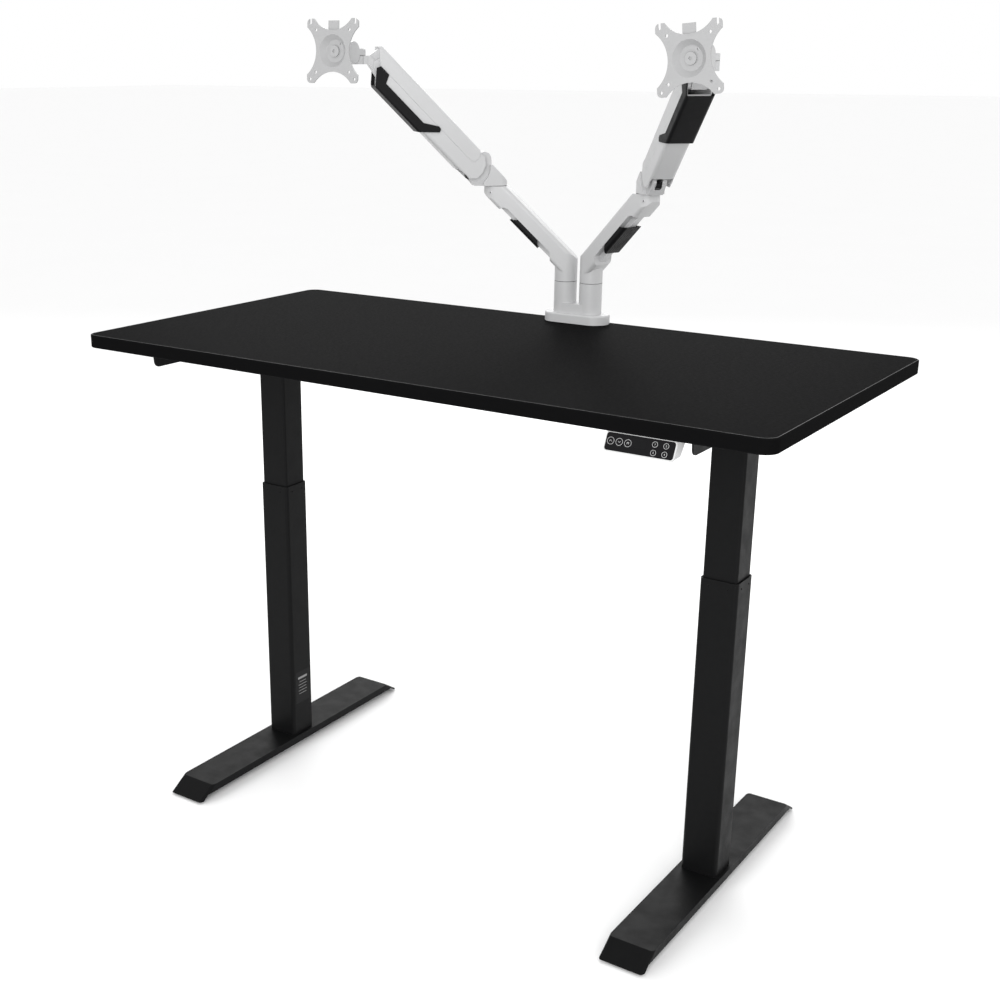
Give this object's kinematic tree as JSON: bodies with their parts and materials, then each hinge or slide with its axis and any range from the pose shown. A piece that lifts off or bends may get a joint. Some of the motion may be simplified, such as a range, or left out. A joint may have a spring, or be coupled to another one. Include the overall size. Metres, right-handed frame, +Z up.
{
  "type": "height adjustable standing desk",
  "caption": "Electric sit-stand desk: rectangular top on telescopic leg columns and flat feet, with a keypad under the edge and a clamped gas spring screen mount with two jointed arms",
  "frame": {"origin": "on the floor under the middle of the desk top", "axes": "+Z up, +Y to the back edge, +X to the right end as the user sits"},
  "size_m": [1.406, 0.716, 1.5348],
  "materials": {
    "powder_black": "fine matt powder coat",
    "top_black": "black laminate, fine texture",
    "arm_grey": "satin light grey lacquer on cast aluminium",
    "plastic_black": "fine textured moulding",
    "panel_black": "gloss",
    "plastic_white": "satin moulding",
    "steel": "zinc plated",
    "nylon": "smooth bearing plastic",
    "motor_grey": "satin",
    "rubber": "matt"
  },
  "bodies": {
    "base": {"left_foot": "powder_black", "right_foot": "powder_black", "left_outer_column": "powder_black", "right_outer_column": "powder_black", "column_guides": "nylon", "nut_posts": "steel", "spindle_nuts": "nylon", "foot_screws": "steel", "levelling_glides": "rubber"},
    "left_spindle": {"left_spindle": "steel"},
    "right_spindle": {"right_spindle": "steel"},
    "lift": {"desktop": "top_black", "left_inner_column": "powder_black", "right_inner_column": "powder_black", "left_motor_housing": "powder_black", "right_motor_housing": "powder_black", "left_drive_unit": "motor_grey", "right_drive_unit": "motor_grey", "left_side_bracket": "powder_black", "right_side_bracket": "powder_black", "cross_rails": "powder_black", "control_box": "plastic_black", "keypad_housing": "plastic_white", "keypad_panel": "panel_black", "frame_screws": "steel", "arm_base": "arm_grey", "clamp_bracket": "arm_grey"},
    "clamp_pad": {"clamp_pad": "plastic_black"},
    "clamp_screw": {"clamp_screw": "steel"},
    "left_lower": {"left_lower_arm": "arm_grey", "left_lower_clip": "plastic_black"},
    "left_elbow": {"left_elbow_bracket": "arm_grey"},
    "left_upper": {"left_arm_channel": "arm_grey", "left_arm_cover": "arm_grey", "left_cable_clip": "plastic_black", "left_gas_cylinder": "plastic_black"},
    "left_link": {"left_levelling_link": "steel"},
    "left_rod": {"left_gas_rod": "plastic_black"},
    "left_tip": {"left_end_bracket": "arm_grey"},
    "left_head": {"left_head_bracket": "arm_grey"},
    "left_tilt": {"left_tilt_block": "arm_grey", "left_hub_screw": "arm_grey"},
    "left_plate": {"left_screen_plate": "arm_grey"},
    "right_lower": {"right_lower_arm": "arm_grey", "right_lower_clip": "plastic_black"},
    "right_elbow": {"right_elbow_bracket": "arm_grey"},
    "right_upper": {"right_arm_channel": "arm_grey", "right_arm_cover": "arm_grey", "right_cable_clip": "plastic_black", "right_gas_cylinder": "plastic_black"},
    "right_link": {"right_levelling_link": "steel"},
    "right_rod": {"right_gas_rod": "plastic_black"},
    "right_tip": {"right_end_bracket": "arm_grey"},
    "right_head": {"right_head_bracket": "arm_grey"},
    "right_tilt": {"right_tilt_block": "arm_grey", "right_hub_screw": "arm_grey"},
    "right_plate": {"right_screen_plate": "arm_grey"}
  },
  "joints": [
    {"name": "height_lift", "type": "slide", "parent": "base", "child": "lift", "axis": [0, 0, 1], "range_m": [-0.235, 0.24]},
    {"name": "left_spindle_turn", "type": "hinge", "parent": "lift", "child": "left_spindle", "pos_m": [-0.505, -0.008, 0.88], "axis": [0, 0, 1], "range_deg": [-5410, 5410]},
    {"name": "right_spindle_turn", "type": "hinge", "parent": "lift", "child": "right_spindle", "pos_m": [0.505, -0.008, 0.88], "axis": [0, 0, 1], "range_deg": [-5410, 5410]},
    {"name": "clamp_pad_travel", "type": "slide", "parent": "lift", "child": "clamp_pad", "axis": [0, 0, -1], "range_m": [0, 0.03]},
    {"name": "clamp_screw_turn", "type": "hinge", "parent": "clamp_pad", "child": "clamp_screw", "pos_m": [0.008, 0.318, 0.82], "axis": [0, 0, 1], "range_deg": [-10, 5410]},
    {"name": "left_shoulder_swivel", "type": "hinge", "parent": "lift", "child": "left_lower", "pos_m": [-0.021, 0.326, 1.0354], "axis": [0, 0, 1], "range_deg": [-110, 70]},
    {"name": "left_elbow_swivel", "type": "hinge", "parent": "left_lower", "child": "left_elbow", "pos_m": [-0.15577, 0.26656, 1.2216], "axis": [0, 0, 1], "range_deg": [-100, 100]},
    {"name": "left_arm_pitch", "type": "hinge", "parent": "left_elbow", "child": "left_upper", "pos_m": [-0.19184, 0.22678, 1.2565], "axis": [-0.7408, 0.6717, 0], "range_deg": [-79.7, 1.3]},
    {"name": "left_link_pitch", "type": "hinge", "parent": "left_elbow", "child": "left_link", "pos_m": [-0.19184, 0.22678, 1.2725], "axis": [-0.7408, 0.6717, 0], "range_deg": [-80.7, 2.3]},
    {"name": "left_tip_level", "type": "hinge", "parent": "left_upper", "child": "left_tip", "pos_m": [-0.31121, 0.09514, 1.43235], "axis": [-0.7408, 0.6717, 0], "range_deg": [-2.3, 80.7]},
    {"name": "left_spring_stroke", "type": "slide", "parent": "left_upper", "child": "left_rod", "axis": [0.4706, 0.519, -0.7136], "range_m": [-0.01928, 0.00081]},
    {"name": "left_head_swivel", "type": "hinge", "parent": "left_tip", "child": "left_head", "pos_m": [-0.34412, 0.05884, 1.46925], "axis": [0, 0, 1], "range_deg": [-131.1, 38.9]},
    {"name": "left_head_tilt", "type": "hinge", "parent": "left_head", "child": "left_tilt", "pos_m": [-0.34179, 0.02462, 1.47475], "axis": [0.9977, 0.068, 0], "range_deg": [-35, 35]},
    {"name": "left_screen_roll", "type": "hinge", "parent": "left_tilt", "child": "left_plate", "pos_m": [-0.33908, -0.01523, 1.47698], "axis": [0.0679, -0.9961, 0.0558], "range_deg": [-90, 90]},
    {"name": "right_shoulder_swivel", "type": "hinge", "parent": "lift", "child": "right_lower", "pos_m": [0.037, 0.326, 1.0354], "axis": [0, 0, 1], "range_deg": [-70, 110]},
    {"name": "right_elbow_swivel", "type": "hinge", "parent": "right_lower", "child": "right_elbow", "pos_m": [0.17677, 0.27951, 1.2216], "axis": [0, 0, 1], "range_deg": [-100, 100]},
    {"name": "right_arm_pitch", "type": "hinge", "parent": "right_elbow", "child": "right_upper", "pos_m": [0.21414, 0.24094, 1.2565], "axis": [-0.7181, -0.6959, 0], "range_deg": [-76.8, 4.2]},
    {"name": "right_link_pitch", "type": "hinge", "parent": "right_elbow", "child": "right_link", "pos_m": [0.21414, 0.24094, 1.2725], "axis": [-0.7181, -0.6959, 0], "range_deg": [-77.8, 5.2]},
    {"name": "right_tip_level", "type": "hinge", "parent": "right_upper", "child": "right_tip", "pos_m": [0.34384, 0.10711, 1.42313], "axis": [-0.7181, -0.6959, 0], "range_deg": [-5.2, 77.8]},
    {"name": "right_spring_stroke", "type": "slide", "parent": "right_upper", "child": "right_rod", "axis": [-0.5112, 0.5275, -0.6785], "range_m": [-0.01806, 0.00146]},
    {"name": "right_head_swivel", "type": "hinge", "parent": "right_tip", "child": "right_head", "pos_m": [0.37794, 0.07192, 1.46003], "axis": [0, 0, 1], "range_deg": [-41.6, 128.4]},
    {"name": "right_head_tilt", "type": "hinge", "parent": "right_head", "child": "right_tilt", "pos_m": [0.37835, 0.03762, 1.46553], "axis": [0.9999, 0.0122, 0], "range_deg": [-35, 35]},
    {"name": "right_screen_roll", "type": "hinge", "parent": "right_tilt", "child": "right_plate", "pos_m": [0.37884, -0.00236, 1.46435], "axis": [0.0122, -0.9995, -0.0297], "range_deg": [-90, 90]}
  ],
  "couplings": [
    {"joint": "left_spindle_turn", "follows": "height_lift", "rad_per_m": 392.7},
    {"joint": "right_spindle_turn", "follows": "height_lift", "rad_per_m": 392.7},
    {"joint": "clamp_screw_turn", "follows": "clamp_pad_travel", "rad_per_m": 3141.6},
    {"joint": "left_link_pitch", "follows": "left_arm_pitch", "ratio": 1},
    {"joint": "left_tip_level", "follows": "left_arm_pitch", "ratio": -1},
    {"joint": "left_spring_stroke", "follows": "left_arm_pitch", "m_per_rad": 0.0135},
    {"joint": "right_link_pitch", "follows": "right_arm_pitch", "ratio": 1},
    {"joint": "right_tip_level", "follows": "right_arm_pitch", "ratio": -1},
    {"joint": "right_spring_stroke", "follows": "right_arm_pitch", "m_per_rad": 0.0131}
  ]
}
